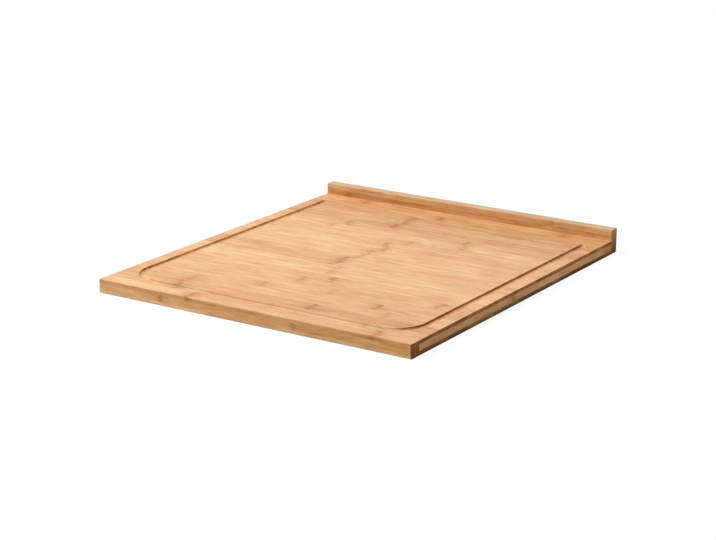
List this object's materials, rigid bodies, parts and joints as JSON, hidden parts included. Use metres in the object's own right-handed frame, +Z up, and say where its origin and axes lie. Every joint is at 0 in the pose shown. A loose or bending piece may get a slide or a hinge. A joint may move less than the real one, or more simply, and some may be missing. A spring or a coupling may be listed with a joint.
{
  "type": "cutting board",
  "caption": "Flat rectangular bamboo cutting board of crossed plies, with a raised ledge along the back and a juice groove routed round three sides of the face.",
  "frame": {"origin": "on the underside, below the middle of the board's footprint", "axes": "+X to the right, +Y from the front edge to the ledge, +Z up from the worktop"},
  "size_m": [0.46, 0.53, 0.0325],
  "materials": {
    "top_ply": "oiled satin bamboo, strips side to side",
    "bottom_ply": "oiled satin bamboo, strips side to side",
    "core_rails": "oiled satin bamboo, grain side to side",
    "core_strips": "oiled satin bamboo, grain front to back",
    "ledge": "oiled satin bamboo, strips side to side"
  },
  "bodies": {
    "root": {"top_strip_01": "top_ply", "top_strip_02": "top_ply", "top_strip_03": "top_ply", "top_strip_04": "top_ply", "top_strip_05": "top_ply", "top_strip_06": "top_ply", "top_strip_07": "top_ply", "top_strip_08": "top_ply", "top_strip_09": "top_ply", "top_strip_10": "top_ply", "top_strip_11": "top_ply", "top_strip_12": "top_ply", "top_strip_13": "top_ply", "top_strip_14": "top_ply", "top_strip_15": "top_ply", "top_strip_16": "top_ply", "top_strip_17": "top_ply", "top_strip_18": "top_ply", "top_strip_19": "top_ply", "top_strip_20": "top_ply", "top_strip_21": "top_ply", "top_strip_22": "top_ply", "top_strip_23": "top_ply", "top_strip_24": "top_ply", "bottom_strip_01": "bottom_ply", "bottom_strip_02": "bottom_ply", "bottom_strip_03": "bottom_ply", "bottom_strip_04": "bottom_ply", "bottom_strip_05": "bottom_ply", "bottom_strip_06": "bottom_ply", "bottom_strip_07": "bottom_ply", "bottom_strip_08": "bottom_ply", "bottom_strip_09": "bottom_ply", "bottom_strip_10": "bottom_ply", "bottom_strip_11": "bottom_ply", "bottom_strip_12": "bottom_ply", "bottom_strip_13": "bottom_ply", "bottom_strip_14": "bottom_ply", "bottom_strip_15": "bottom_ply", "bottom_strip_16": "bottom_ply", "bottom_strip_17": "bottom_ply", "bottom_strip_18": "bottom_ply", "bottom_strip_19": "bottom_ply", "bottom_strip_20": "bottom_ply", "bottom_strip_21": "bottom_ply", "bottom_strip_22": "bottom_ply", "bottom_strip_23": "bottom_ply", "bottom_strip_24": "bottom_ply", "core_front_rail": "core_rails", "core_rear_rail": "core_rails", "core_left_strip": "core_strips", "core_right_strip": "core_strips", "core_inner_strips": "core_strips", "ledge_strip_1": "ledge", "ledge_strip_2": "ledge", "ledge_strip_3": "ledge", "ledge_strip_4": "ledge"}
  },
  "joints": []
}
